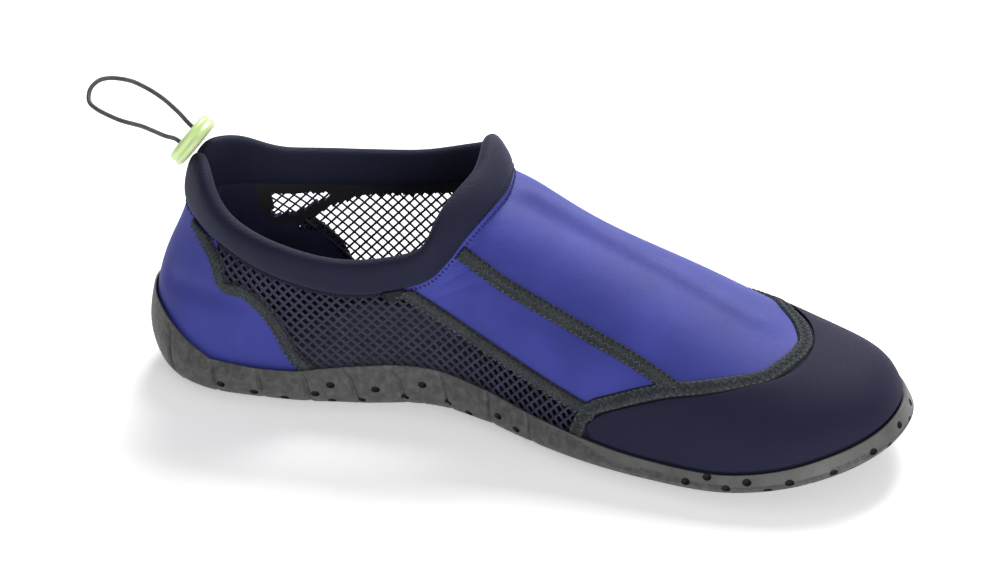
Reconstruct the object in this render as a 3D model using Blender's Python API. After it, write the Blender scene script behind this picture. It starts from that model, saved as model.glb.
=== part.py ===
"""Water shoe for the left foot: moulded sole, neoprene upper, padded collar and a drawcord.

Metres, +Z up, +X towards the toe, +Y towards the outer side of the foot.
"""

from collections import namedtuple
from math import cos, pi, radians, sin

import bmesh
import bpy
import numpy as np
from mathutils import Vector
from mathutils.bvhtree import BVHTree

# Driving sizes of the last
LAST_LENGTH = 0.270
HEEL_WIDTH = 0.062
WAIST_WIDTH = 0.061
BALL_WIDTH = 0.092
INSTEP_HEIGHT = 0.075
TOE_HEIGHT = 0.0345
WAIST_SWING = 0.0080
TOE_SWING = 0.0062
HEEL_BULGE = 0.0030
HEEL_LEAN = 0.0115

# Collar line, where the neoprene ends and the padded band is sewn on
BACK_SEAM_HEIGHT = 0.062
DIP_SEAM_HEIGHT = 0.0470
OPENING_WIDTH = 0.073
BACK_OPENING_WIDTH = 0.024
OUTER_RISE = 0.0088

# Sole
HEEL_FLOOR = 0.0085
WAIST_FLOOR = 0.0110
BALL_FLOOR = 0.0065
TOE_SPRING = 0.0095
HEEL_BEVEL = 0.0035
WAIST_ARCH = 0.0020
LUG_HEIGHT = 0.0020
CUP_WALL = 0.0032
HEEL_CUP_WALL = 0.0022
CUP_SWELL = 0.0008
TREAD_INSET = 0.0016
RIM_FALL = 0.0004
RIM_BACK = 0.0300
RIM_HEEL = 0.0150
RIM_WAIST = 0.0210
RIM_BALL = 0.0105
RIM_TOE = 0.0212
GROOVE_PITCH = 0.0168
GROOVE_WIDTH = 0.0020
GROOVE_DEPTH = 0.0010
GROOVE_COUNT = 9
FIRST_GROOVE = 0.0150
LUG_GAP = 0.0022

# Cloth thicknesses and the clearance between pieces that touch
UPPER_WALL = 0.0028
INSOLE_THICKNESS = 0.0030
CLEARANCE = 0.0003

# Padded band of the collar
BAND_HEIGHT = 0.0138
BAND_FRONT_HEIGHT = 0.0145
BAND_BACK_HEIGHT = 0.0215
BAND_THICKNESS = 0.0078
BAND_TILT = -0.20
FRONT_LEAN = (-0.70, 0.0, 0.714)
BACK_LEAN = (0.22, 0.0, 0.975)
NOTCH_START = 0.03
NOTCH_SPREAD = 0.07

# Overlays sewn on the upper
TAPE_WIDTH = 0.0050
TAPE_THICKNESS = 0.0009
TAPE_TOP_SHARE = 0.95
TAPE_RIM_GAP = 0.0010
TOE_CAP_THICKNESS = 0.0007

# Cord lock and drawcord
LOCK_WIDTH = 0.0225
LOCK_DEPTH = 0.0185
LOCK_THICKNESS = 0.0056
LOCK_PERCH = 1.0
LOCK_AXIS = (-0.80, 0.0, 0.60)
CORD_DIAMETER = 0.0016
CORD_SPACING = 0.0120
HOLE_PLAY = 0.0004

# How finely the curved pieces are faceted
AROUND = 64
ACROSS = 8

Row = namedtuple("Row", "along width swing ridge seam opening floor rim tread fullness")


def stations():
    """One row for each section of the last, heel to toe, with lengths as shares of the named sizes."""
    heel, waist, ball = HEEL_WIDTH, WAIST_WIDTH, BALL_WIDTH
    back, dip, top, toe = BACK_SEAM_HEIGHT, DIP_SEAM_HEIGHT, INSTEP_HEIGHT, TOE_HEIGHT
    sway, toes = WAIST_SWING, -TOE_SWING
    point, wide = BACK_OPENING_WIDTH, OPENING_WIDTH
    low, mid, front, spring = HEEL_FLOOR, WAIST_FLOOR, BALL_FLOOR, TOE_SPRING
    lip, cup, flank, edge, nose = RIM_BACK, RIM_HEEL, RIM_WAIST, RIM_BALL, RIM_TOE
    bevel, arch = HEEL_BEVEL, WAIST_ARCH
    broad, blunt = wide * 0.93, wide * 0.9
    rise = flank * 0.87
    tip, near, far = front + spring, front + spring * 0.68, front + spring * 0.3
    return [
        Row(0.00, heel, 0, top * 2.1, back, point * 0.7, low, lip, bevel, 2.6),
        Row(0.04, heel, 0, top * 1.95, back * 0.99, point * 0.95, low, lip * 0.88, bevel * 0.25, 2.6),
        Row(0.12, heel, 0, top * 1.7, back * 0.9, point * 1.9, low, cup * 1.07, 0, 2.6),
        Row(0.20, heel, sway * 0.12, top * 1.5, dip * 1.08, wide * 0.88, low, cup, 0, 2.6),
        Row(0.30, heel * 0.985, sway * 0.6, top * 1.27, dip, wide, low * 1.05, rise, 0, 2.5),
        Row(0.40, waist, sway, top * 1.06, dip * 1.12, wide, mid, flank, arch, 3.4),
        Row(0.48, waist * 1.12, sway * 0.95, top * 0.965, top * 0.99, wide, mid, rise, arch * 0.6, 3.6),
        Row(0.56, ball * 0.86, sway * 0.7, top * 0.855, top * 1.05, broad, front * 1.15, edge * 1.38, 0, 2.7),
        Row(0.64, ball * 0.97, sway * 0.44, top * 0.770, top * 1.08, blunt, front, edge * 1.17, 0, 2.1),
        Row(0.72, ball, sway * 0.15, top * 0.683, top * 1.12, blunt, front, edge, 0, 2.1),
        Row(0.80, ball, toes * 0.3, top * 0.590, top * 1.16, blunt, front, edge, spring * 0.06, 2.2),
        Row(0.88, ball * 0.99, toes * 0.6, toe * 1.09, top * 1.2, blunt, far, nose * 0.62, spring * 0.3, 2.4),
        Row(0.95, ball * 0.98, toes * 0.83, toe * 0.99, top * 1.24, blunt, near, nose * 0.84, spring * 0.68, 2.6),
        Row(1.00, ball * 0.97, toes, toe * 0.95, top * 1.27, blunt, tip, nose, spring, 2.6),
    ]


TABLE = stations()
ALONG = np.array([row.along for row in TABLE])


def slopes(values):
    """Slopes of a curve through the table's rows that never overshoots a row."""
    step = np.diff(ALONG)
    rise = np.diff(values) / step
    out = np.zeros(len(values))
    out[0], out[-1] = rise[0], rise[-1]
    for i in range(1, len(values) - 1):
        if rise[i - 1] * rise[i] > 0:
            before, after = 2 * step[i] + step[i - 1], step[i] + 2 * step[i - 1]
            out[i] = (before + after) / (before / rise[i - 1] + after / rise[i])
    return out


def column(name):
    """A smooth function of x through one column of the table."""
    values = np.array([getattr(row, name) for row in TABLE])
    slope = slopes(values)

    def at(x):
        s = np.clip(np.asarray(x, float) / LAST_LENGTH, 0.0, 1.0)
        i = np.clip(np.searchsorted(ALONG, s, side="right") - 1, 0, len(ALONG) - 2)
        step = ALONG[i + 1] - ALONG[i]
        t = (s - ALONG[i]) / step
        first = (1 + 2 * t) * (1 - t) ** 2 * values[i] + t * (1 - t) ** 2 * step * slope[i]
        second = t * t * (3 - 2 * t) * values[i + 1] + t * t * (t - 1) * step * slope[i + 1]
        return first + second

    return at


full_width = column("width")
swing_at = column("swing")
bare_ridge = column("ridge")
seam_at = column("seam")
floor_at = column("floor")
rim_at = column("rim")
opening_at = column("opening")
tread_at = column("tread")
fullness_at = column("fullness")


def blend(low, high, x):
    """0 below low, 1 above high, smooth between them."""
    t = np.clip((x - low) / (high - low), 0.0, 1.0)
    return t * t * (3 - 2 * t)


def half_width(x):
    """Half the width of the last's outline, rounded off at the heel and the toe."""
    s = np.clip(x / LAST_LENGTH, 0.0, 1.0)
    heel_end, toe_end = 0.115, 0.755
    heel = np.sqrt(np.clip(1 - np.clip((heel_end - s) / heel_end, 0, 1) ** 2, 0, 1))
    toe = np.sqrt(np.clip(1 - np.clip((s - toe_end) / (1 - toe_end), 0, 1) ** 2.5, 0, 1))
    return full_width(x) / 2 * heel * toe


def ridge_at(x):
    """Height of the upper's highest line, closed down to the floor at the very toe."""
    s = np.clip(x / LAST_LENGTH, 0.0, 1.0)
    start = 0.925
    end = np.sqrt(np.clip(1 - np.clip((s - start) / (1 - start), 0, 1) ** 2.8, 0, 1))
    floor = floor_at(x)
    return floor + (bare_ridge(x) - floor) * end


STEPS = np.linspace(0.0, LAST_LENGTH, 1201)
HIGHEST = np.minimum.accumulate((ridge_at(STEPS) - floor_at(STEPS)) / (seam_at(STEPS) - floor_at(STEPS)))


def front_of(level):
    """Where the loop at this level crosses the highest line of the upper."""
    return np.interp(-np.asarray(level, float), -HIGHEST, STEPS)


def back_of(level):
    """The heel's own curve: out to its bulge, then in to the collar."""
    level = np.asarray(level, float)
    return HEEL_LEAN * level**1.7 - HEEL_BULGE * np.sin(pi * np.clip(level * 1.15, 0, 1))


def skin(level, turn):
    """A point of the upper's outside. level: 0 at its lower edge, 1 at the collar. turn: from the heel."""
    level, turn = np.broadcast_arrays(np.asarray(level, float), np.asarray(turn, float))
    back, front = back_of(level), front_of(level)
    x = back + (front - back) * (1 - np.cos(turn)) / 2
    outline_x = x - back * np.clip(1 - (x - back) / (0.22 * LAST_LENGTH), 0, 1)
    floor = floor_at(x)
    share = np.clip(level * (seam_at(x) - floor) / np.maximum(ridge_at(x) - floor, 1e-7), 0, 1)
    arch = np.sqrt(np.clip(1 - share ** fullness_at(x), 0, 1))
    rounding = HEEL_WIDTH * 0.24
    end = np.sqrt(np.clip(1 - np.clip((rounding - (x - back)) / rounding, 0, 1) ** 2, 0, 1))
    gather = level**1.4 * (1 - blend(0.42 * LAST_LENGTH, 0.74 * LAST_LENGTH, x))
    half = half_width(outline_x) * (1 - gather) + opening_at(x) / 2 * gather * end
    side = np.where(np.sin(turn) >= 0, 1.0, -1.0)
    lift = OUTER_RISE * level**2 * np.clip(np.sin(turn), 0, 1) * (1 - np.cos(turn)) / 1.3
    height = floor + level * (seam_at(x) - floor) + lift
    return np.stack([x, side * half * arch + swing_at(x), height], -1)


def outward(level, turn):
    """Unit normals of the upper's outside, by small steps along and round it."""
    level, turn = np.broadcast_arrays(np.asarray(level, float), np.asarray(turn, float))
    step = 0.004
    up = skin(np.minimum(level + step, 1.0), turn) - skin(np.maximum(level - step, 0.0), turn)
    along = skin(level, turn + step) - skin(level, turn - step)
    normal = np.cross(up, along)
    return normal / np.linalg.norm(normal, axis=-1, keepdims=True)


def raised(level, turn, height):
    """A point at this height over the upper's outside, or inside its wall where the height is negative."""
    return skin(level, turn) + outward(level, turn) * np.asarray(height)[..., None]


def material(name, colour, roughness):
    made = bpy.data.materials.new(name)
    made.use_nodes = True
    shader = made.node_tree.nodes["Principled BSDF"]
    shader.inputs["Base Color"].default_value = (*colour, 1.0)
    shader.inputs["Roughness"].default_value = roughness
    shader.inputs["Metallic"].default_value = 0.0
    return made


def add_object(name, points, faces, finish):
    """Makes one closed mesh object with its faces pointing out."""
    mesh = bpy.data.meshes.new(name)
    mesh.from_pydata([tuple(map(float, point)) for point in points], [], faces)
    shaped = bmesh.new()
    shaped.from_mesh(mesh)
    bmesh.ops.recalc_face_normals(shaped, faces=shaped.faces)
    shaped.to_mesh(mesh)
    shaped.free()
    mesh.shade_smooth()
    mesh.set_sharp_from_angle(angle=radians(40))
    mesh.materials.append(finish)
    made = bpy.data.objects.new(name, mesh)
    bpy.context.scene.collection.objects.link(made)
    return made


def rings_to_faces(rings, count, wrap_rings=False):
    """Quads between rings of count points each, and back to the first ring where they wrap."""
    faces = []
    for ring in range(rings if wrap_rings else rings - 1):
        low, high = ring * count, (ring + 1) % rings * count
        for i in range(count):
            after = (i + 1) % count
            faces.append((low + i, low + after, high + after, high + i))
    return faces


def make_upper():
    """The neoprene shell: one hollow wall, open at the collar and underneath."""
    levels = np.array([0.0, 0.07, 0.15, 0.25, 0.35, 0.45, 0.55, 0.65, 0.75, 0.84, 0.92, 1.0])
    turns = np.linspace(0, 2 * pi, AROUND, endpoint=False)
    level, turn = np.meshgrid(levels, turns, indexing="ij")
    outer = raised(level, turn, np.zeros(level.shape))
    inner = raised(level, turn, np.full(level.shape, -UPPER_WALL))
    outer[0, :, 2] += CLEARANCE
    inner[0, :, 2] = outer[0, :, 2]
    rings = np.concatenate([outer, inner[::-1]])
    faces = rings_to_faces(len(rings), AROUND, wrap_rings=True)
    return add_object("upper", rings.reshape(-1, 3), faces, material("neoprene", (0.10, 0.10, 0.46), 0.8))


def sole_turns():
    """Angles of the sole's columns on one side: even steps, with four more at each groove."""
    length = LAST_LENGTH
    grooves = [FIRST_GROOVE + GROOVE_PITCH * i for i in range(GROOVE_COUNT)]
    turns, deep = [], []
    for turn in np.linspace(0, pi, 33):
        x = length * (1 - cos(turn)) / 2
        if min(abs(x - place) for place in grooves) > GROOVE_WIDTH * 1.6:
            turns.append(turn)
            deep.append(0.0)
    for place in grooves:
        for offset, depth in ((-0.5, 0.0), (-0.2, 1.0), (0.2, 1.0), (0.5, 0.0)):
            turns.append(np.arccos(1 - 2 * (place + offset * GROOVE_WIDTH) / length))
            deep.append(depth)
    order = np.argsort(turns)
    return np.array(turns)[order], np.array(deep)[order]


def side_rows(turns, deep):
    """Loops of the sole's side from the tread's edge, over the rim and down to the inner floor."""
    foot = skin(np.zeros(turns.shape), turns)
    x = foot[:, 0]
    low, rim, floor = tread_at(x) + LUG_HEIGHT, rim_at(x), floor_at(x)
    wall = HEEL_CUP_WALL + (CUP_WALL - HEEL_CUP_WALL) * blend(0.02 * LAST_LENGTH, 0.14 * LAST_LENGTH, x)
    profile = [
        (0.00, -TREAD_INSET, 0.0),
        (0.16, wall * 0.75, 1.0),
        (0.48, wall + CUP_SWELL, 1.0),
        (0.82, wall * 0.84, 1.0),
        (1.00, wall * 0.62, 0.0),
        (1.00, CLEARANCE * 2.4, 0.0),
    ]
    rows = []
    for share, out, cut in profile:
        height = low + (rim - low) * share
        rows.append(push_out(turns, height, out - GROOVE_DEPTH * cut * deep))
    rows[5][:, 2] -= RIM_FALL
    for share in (0.66, 0.33, 0.0):
        rows.append(push_out(turns, floor + (rim - floor) * share, np.full(turns.shape, CLEARANCE * 2)))
    return rows


def push_out(turns, height, out):
    """Points at a height, moved straight out from the upper's outside there."""
    foot_x = skin(np.zeros(turns.shape), turns)[:, 0]
    floor = floor_at(foot_x)
    level = np.clip((height - floor) / (seam_at(foot_x) - floor), 0.0, 1.0)
    base = skin(level, turns)
    along = skin(level, turns + 0.01) - skin(level, turns - 0.01)
    flat = np.stack([-along[:, 1], along[:, 0]], -1)
    flat /= np.linalg.norm(flat, axis=1, keepdims=True)
    middle = np.stack([np.clip(base[:, 0], 0.12 * LAST_LENGTH, 0.86 * LAST_LENGTH), swing_at(base[:, 0])], -1)
    facing = np.sign(np.sum(flat * (base[:, :2] - middle), axis=1))
    moved = base[:, :2] + flat * facing[:, None] * np.asarray(out)[:, None]
    return np.column_stack([moved, height])


def bridge_floor(points, faces, ring_start, half, level_of):
    """Closes a ring of 2 * half points with strips from one side to the other. Gives the inner cells."""
    ring = [ring_start + i for i in range(2 * half)]
    rows = []
    for i in range(1, half):
        first, last = points[ring[i]], points[ring[-i]]
        row = [ring[i]]
        for j in range(1, ACROSS):
            place = first + (last - first) * j / ACROSS
            points.append(np.array([place[0], place[1], level_of(place[0], first[2])]))
            row.append(len(points) - 1)
        row.append(ring[-i])
        rows.append(row)
    cells = {}
    for i, (row, after) in enumerate(zip(rows, rows[1:])):
        for j in range(ACROSS):
            cells[i, j] = len(faces)
            faces.append((row[j], row[j + 1], after[j + 1], after[j]))
    for end, row in ((ring[0], rows[0]), (ring[half], rows[-1])):
        for j in range(ACROSS):
            faces.append((end, row[j], row[j + 1]))
    return cells


def make_outsole():
    """The moulded cup sole: tread with lugs, grooved side, raised back and rim."""
    turns, deep = sole_turns()
    inner, inner_deep = turns[1:-1], deep[1:-1]
    loop = np.concatenate([turns, 2 * pi - inner[::-1]])
    loop_deep = np.concatenate([deep, inner_deep[::-1]])
    rows = side_rows(loop, loop_deep)
    half = len(turns) - 1
    points = [np.array(point) for row in rows for point in row]
    faces = rings_to_faces(len(rows), 2 * half)
    cells = bridge_floor(points, faces, 0, half, lambda x, z: float(tread_at(x)) + LUG_HEIGHT)
    bridge_floor(points, faces, (len(rows) - 1) * 2 * half, half, lambda x, z: z)
    made = add_object("outsole", points, faces, material("rubber", (0.10, 0.11, 0.11), 0.75))
    cut_lugs(made, cells, turns)
    return made


def cut_lugs(sole, cells, turns):
    """Raises the main lugs of the tread: blocks in staggered rows, flat on the ground."""
    shaped = bmesh.new()
    shaped.from_mesh(sole.data)
    shaped.faces.ensure_lookup_table()
    x = LAST_LENGTH * (1 - np.cos(turns)) / 2
    lugs = []
    for (i, j), index in cells.items():
        long_enough = x[i + 2] - x[i + 1] > GROOVE_WIDTH * 1.2
        if long_enough and 0 < j < ACROSS - 1 and (i // 2 + j) % 2 == 0:
            lugs.append(shaped.faces[index])
    bmesh.ops.inset_individual(shaped, faces=lugs, thickness=LUG_GAP / 2, use_even_offset=True)
    for face in lugs:
        for vertex in face.verts:
            vertex.co.z = float(tread_at(vertex.co.x))
    bmesh.ops.recalc_face_normals(shaped, faces=shaped.faces)
    shaped.to_mesh(sole.data)
    shaped.free()


def make_insole():
    """The foot bed: a thin sheet on the sole's floor, inside the upper."""
    turns = np.linspace(0, pi, 25)
    loop = np.concatenate([turns, 2 * pi - turns[1:-1][::-1]])
    half = len(turns) - 1
    floor = floor_at(skin(np.zeros(loop.shape), loop)[:, 0])
    inset = np.full(loop.shape, -(UPPER_WALL + 2.5 * CLEARANCE))
    low = push_out(loop, floor + CLEARANCE, inset)
    high = push_out(loop, floor + CLEARANCE + INSOLE_THICKNESS, inset - INSOLE_THICKNESS * 0.25)
    points = [np.array(point) for row in (low, high) for point in row]
    faces = rings_to_faces(2, 2 * half)
    bridge_floor(points, faces, 0, half, lambda x, z: z)
    bridge_floor(points, faces, 2 * half, half, lambda x, z: z)
    return add_object("insole", points, faces, material("foam", (0.02, 0.02, 0.03), 0.9))


def band_frame(turn):
    """For each turn: the seam's point, the way the band stands and the way out of the shoe."""
    seam = skin(np.ones(turn.shape), turn)
    along = skin(np.ones(turn.shape), turn + 0.01) - skin(np.ones(turn.shape), turn - 0.01)
    out = np.stack([-along[:, 1], along[:, 0], np.zeros(len(turn))], -1)
    out /= np.linalg.norm(out, axis=1, keepdims=True)
    x = seam[:, 0]
    front = blend(0.385 * LAST_LENGTH, 0.475 * LAST_LENGTH, x)[:, None]
    back = 1 - blend(0.05 * LAST_LENGTH, 0.15 * LAST_LENGTH, x)[:, None]
    inward = -out * BAND_TILT
    inward[:, 2] = 1.0
    stand = inward * (1 - front - back) + np.array(FRONT_LEAN) * front + np.array(BACK_LEAN) * back
    stand /= np.linalg.norm(stand, axis=1, keepdims=True)
    out -= stand * np.sum(out * stand, axis=1, keepdims=True)
    out /= np.linalg.norm(out, axis=1, keepdims=True)
    tall = BAND_HEIGHT + (BAND_BACK_HEIGHT - BAND_HEIGHT) * back[:, 0]
    tall = tall + (BAND_FRONT_HEIGHT - BAND_HEIGHT) * front[:, 0]
    return seam, stand, out, tall


def make_collar():
    """The padded band round the opening, with two rounded ends in a notch at the heel."""
    sections, sides = 54, 12
    angles = np.linspace(0, 2 * pi, sides, endpoint=False) + pi / sides
    share = np.linspace(0.0, 1.0, sections)
    rings = []
    for angle in angles:
        up = 0.5 - 0.5 * np.sign(cos(angle)) * abs(cos(angle)) ** 0.8
        aside = 0.5 * np.sign(sin(angle)) * abs(sin(angle)) ** 0.8
        start = NOTCH_START + NOTCH_SPREAD * up**1.5
        seam, stand, out, tall = band_frame(start + share * (2 * pi - 2 * start))
        place = seam + stand * (CLEARANCE * 2 + tall * up)[:, None]
        rings.append(place + out * (BAND_THICKNESS * aside - UPPER_WALL / 2))
    loops = np.stack(rings, axis=1)
    for end, into in ((0, 1), (-1, -2)):
        middle = loops[end].mean(axis=0)
        loops[end] = middle + (loops[end] - middle) * 0.72
        loops[into] = loops[into] + (loops[into].mean(axis=0) - loops[into]) * 0.06
    points = loops.reshape(-1, 3)
    faces = []
    for i in range(sections - 1):
        for j in range(sides):
            after = (j + 1) % sides
            faces.append((i * sides + j, i * sides + after, (i + 1) * sides + after, (i + 1) * sides + j))
    faces.append(tuple(range(sides)))
    faces.append(tuple((sections - 1) * sides + j for j in range(sides)))
    return add_object("collar", points, faces, material("collar cloth", (0.02, 0.02, 0.05), 0.85))


# Seams, each a row of places: share of the length, share of the height and the side of the foot.
UPPER_SEAM = [(0.452, 0.79), (0.504, 0.722), (0.564, 0.714), (0.626, 0.70), (0.678, 0.686), (0.714, 0.665)]
LOWER_SEAM = [(0.379, 0.53), (0.431, 0.446), (0.494, 0.362), (0.563, 0.333), (0.62, 0.30)]
HEEL_SEAM = [
    (0.112, 0.397), (0.113, 0.344), (0.126, 0.284), (0.155, 0.299), (0.184, 0.279), (0.206, 0.22),
    (0.223, 0.13), (0.236, 0.085),
]
TOE_SEAM_INNER = [
    (0.614, 0.079), (0.633, 0.287), (0.669, 0.414), (0.727, 0.588), (0.775, 0.70), (0.824, 0.835),
    (0.851, 0.90), (0.8707, 0.965),
]
TOE_SEAM_OUTER = [
    (0.604, 0.079), (0.625, 0.26), (0.661, 0.38), (0.715, 0.54), (0.765, 0.655), (0.80, 0.76),
    (0.828, 0.87), (0.854, 0.945),
]
TOE_SEAM_TOP = 0.8735
OUTER_SET_BACK = 0.014

# The loop of the drawcord, from the lock's middle, in metres: outer run, bend and inner run.
CORD_LOOP = [
    (-0.0075, 0.0064, 0.0064), (-0.0130, 0.0080, 0.0096), (-0.0175, 0.0090, 0.0116),
    (-0.0219, 0.0096, 0.0132), (-0.0261, 0.0096, 0.0146), (-0.0302, 0.0088, 0.0154),
    (-0.0337, 0.0070, 0.0160), (-0.0360, 0.0040, 0.0162), (-0.0374, 0.0006, 0.0151),
    (-0.0373, -0.0024, 0.0134), (-0.0355, -0.0056, 0.0120), (-0.0313, -0.0080, 0.0110),
    (-0.0261, -0.0094, 0.0100), (-0.0216, -0.0098, 0.0090), (-0.0151, -0.0090, 0.0076),
    (-0.0111, -0.0080, 0.0058), (-0.0073, -0.0068, 0.0038),
]


def address(along, share, side):
    """Level and turn of a place given by its shares of the length and the height. side: 1 outer, -1 inner."""
    x = along * LAST_LENGTH
    floor = floor_at(x)
    lowest = (rim_at(x) + TAPE_RIM_GAP - floor) / (seam_at(x) - floor)
    level = np.clip(share * (ridge_at(x) - floor) / (seam_at(x) - floor), lowest, TAPE_TOP_SHARE)
    back, front = back_of(level), front_of(level)
    turn = np.arccos(np.clip(1 - 2 * (x - back) / (front - back), -1, 1))
    return np.array([level, turn if side > 0 else 2 * pi - turn], float)


def smooth_path(stops):
    """Closely spaced places on a smooth curve through the stops."""
    stops = np.array(stops)
    padded = np.vstack([2 * stops[0] - stops[1], stops, 2 * stops[-1] - stops[-2]])
    fine = []
    for before, start, end, after in zip(padded, padded[1:], padded[2:], padded[3:]):
        bend = 2 * before - 5 * start + 4 * end - after
        twist = 3 * start - before - 3 * end + after
        for t in np.linspace(0, 1, 24, endpoint=False):
            fine.append(0.5 * (2 * start + (end - before) * t + bend * t**2 + twist * t**3))
    fine.append(stops[-1])
    return np.array(fine)


def spaced(fine, count, where):
    """Picks count places along the fine path, evenly by real distance."""
    points = where(fine)
    run = np.concatenate([[0], np.cumsum(np.linalg.norm(np.diff(points, axis=0), axis=1))])
    wanted = np.linspace(0, run[-1], count)
    return np.column_stack([np.interp(wanted, run, fine[:, k]) for k in range(fine.shape[1])])


def on_skin(places):
    return skin(places[:, 0], places[:, 1])


def aside(places, distance):
    """Moves each place on the skin sideways from the path's own run, to its left seen from outside."""
    points = on_skin(places)
    run = np.gradient(points, axis=0)
    normal = outward(places[:, 0], places[:, 1])
    left = np.cross(normal, run)
    left /= np.linalg.norm(left, axis=1, keepdims=True)
    step = 0.003
    moved = places.copy()
    for i, (level, turn) in enumerate(places):
        up = (skin(level + step, turn) - skin(level - step, turn)) / (2 * step)
        around = (skin(level, turn + step) - skin(level, turn - step)) / (2 * step)
        moved[i] += np.linalg.lstsq(np.column_stack([up, around]), left[i] * distance, rcond=None)[0]
    return moved


def clear_of(tree, points, height):
    """Moves points out where the upper's flat facets come closer to them than this height."""
    cleared = np.array(points, float)
    for i, point in enumerate(cleared):
        place, normal, _, _ = tree.find_nearest(Vector(point))
        short = height - (Vector(point) - place).dot(normal)
        if short > 0:
            cleared[i] = Vector(point) + normal * short
    return cleared


def make_tape(name, stops, count, tree):
    """A sewn tape on the upper: a low band with rounded edges, following a seam."""
    fine = smooth_path(stops)
    middle = spaced(fine, count, on_skin)
    half = TAPE_WIDTH / 2
    top, low = CLEARANCE + TAPE_THICKNESS, CLEARANCE
    edge = CLEARANCE + TAPE_THICKNESS * 0.4
    section = [(-1, low), (0, low), (1, low), (1, edge), (0.7, top), (0, top), (-0.7, top), (-1, edge)]
    rows = {share: aside(middle, half * share) for share in (-1, -0.7, 0.7, 1)}
    rows[0] = middle
    rings = []
    for share, height in section:
        ring = raised(rows[share][:, 0], rows[share][:, 1], np.full(count, height))
        rings.append(clear_of(tree, ring, height))
    points = np.stack(rings, axis=1).reshape(-1, 3)
    sides = len(section)
    faces = []
    for i in range(count - 1):
        for j in range(sides):
            after = (j + 1) % sides
            faces.append((i * sides + j, i * sides + after, (i + 1) * sides + after, (i + 1) * sides + j))
    faces.append(tuple(range(sides)))
    faces.append(tuple((count - 1) * sides + j for j in range(sides)))
    return add_object(name, points, faces, material(name + " weave", (0.05, 0.06, 0.07), 0.9))


def toe_stops():
    """Places of the toe seam, from the inner side over the top to the outer side."""
    inner = [address(along, share, -1) for along, share in TOE_SEAM_INNER]
    outer = [address(along, share, 1) for along, share in TOE_SEAM_OUTER]
    top_level = np.interp(TOE_SEAM_TOP * LAST_LENGTH, STEPS, HIGHEST)
    return inner + [np.array([top_level, pi])] + outer[::-1]


def make_toe_cap(tree):
    """The toe panel: a thin sheet over the upper from the toe seam down to the sole's rim."""
    count, down = 37, 8
    fine = smooth_path(toe_stops())
    seam = spaced(fine, count, on_skin)[1:-1]
    upper_edge = aside(seam, -(TAPE_WIDTH / 2 + CLEARANCE))
    run = np.linspace(0, 1, len(upper_edge))
    turns = upper_edge[0, 1] + (upper_edge[-1, 1] - upper_edge[0, 1]) * run
    foot = floor_at(skin(np.zeros(len(turns)), turns)[:, 0])
    foot_x = skin(np.zeros(len(turns)), turns)[:, 0]
    rim_level = (rim_at(foot_x) + 2 * CLEARANCE - foot) / (seam_at(foot_x) - foot)
    lower_edge = np.column_stack([np.minimum(rim_level, upper_edge[:, 0] * 0.985), turns])
    share = np.linspace(0, 1, down)[:, None, None]
    grid = upper_edge[None] * (1 - share) + lower_edge[None] * share
    level, turn = grid[..., 0], grid[..., 1]
    across = len(upper_edge)
    sheets = []
    for height in (CLEARANCE * 1.5, CLEARANCE * 1.5 + TOE_CAP_THICKNESS):
        sheet = raised(level, turn, np.full(level.shape, height)).reshape(-1, 3)
        sheets.append(clear_of(tree, sheet, height))
    points = np.concatenate(sheets)
    faces = []
    for layer in (0, down * across):
        for i in range(down - 1):
            for j in range(across - 1):
                corner = layer + i * across + j
                faces.append((corner, corner + 1, corner + across + 1, corner + across))
    edge = [j for j in range(across)]
    edge += [i * across + across - 1 for i in range(1, down)]
    edge += [(down - 1) * across + j for j in range(across - 2, -1, -1)]
    edge += [i * across for i in range(down - 2, 0, -1)]
    for first, after in zip(edge, edge[1:] + edge[:1]):
        faces.append((first, after, after + down * across, first + down * across))
    return add_object("toe_cap", points, faces, material("toe cloth", (0.03, 0.03, 0.07), 0.6))


def lock_frame(collar):
    """Middle of the cord lock and its axis out of the heel, where it sits on the band's two ends."""
    seam, stand, _, tall = (value[0] for value in band_frame(np.array([0.0])))
    foot = seam + stand * tall * LOCK_PERCH
    axis = np.array(LOCK_AXIS)
    beside = np.cross(axis, [0.0, 1.0, 0.0])
    near = np.array([vertex.co[:] for vertex in collar.data.vertices]) - foot
    under = (near[:, 1] / LOCK_WIDTH) ** 2 + (near @ beside / LOCK_DEPTH) ** 2 < 0.25
    return foot + axis * ((near[under] @ axis).max() + CLEARANCE + LOCK_THICKNESS / 2), axis


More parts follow.
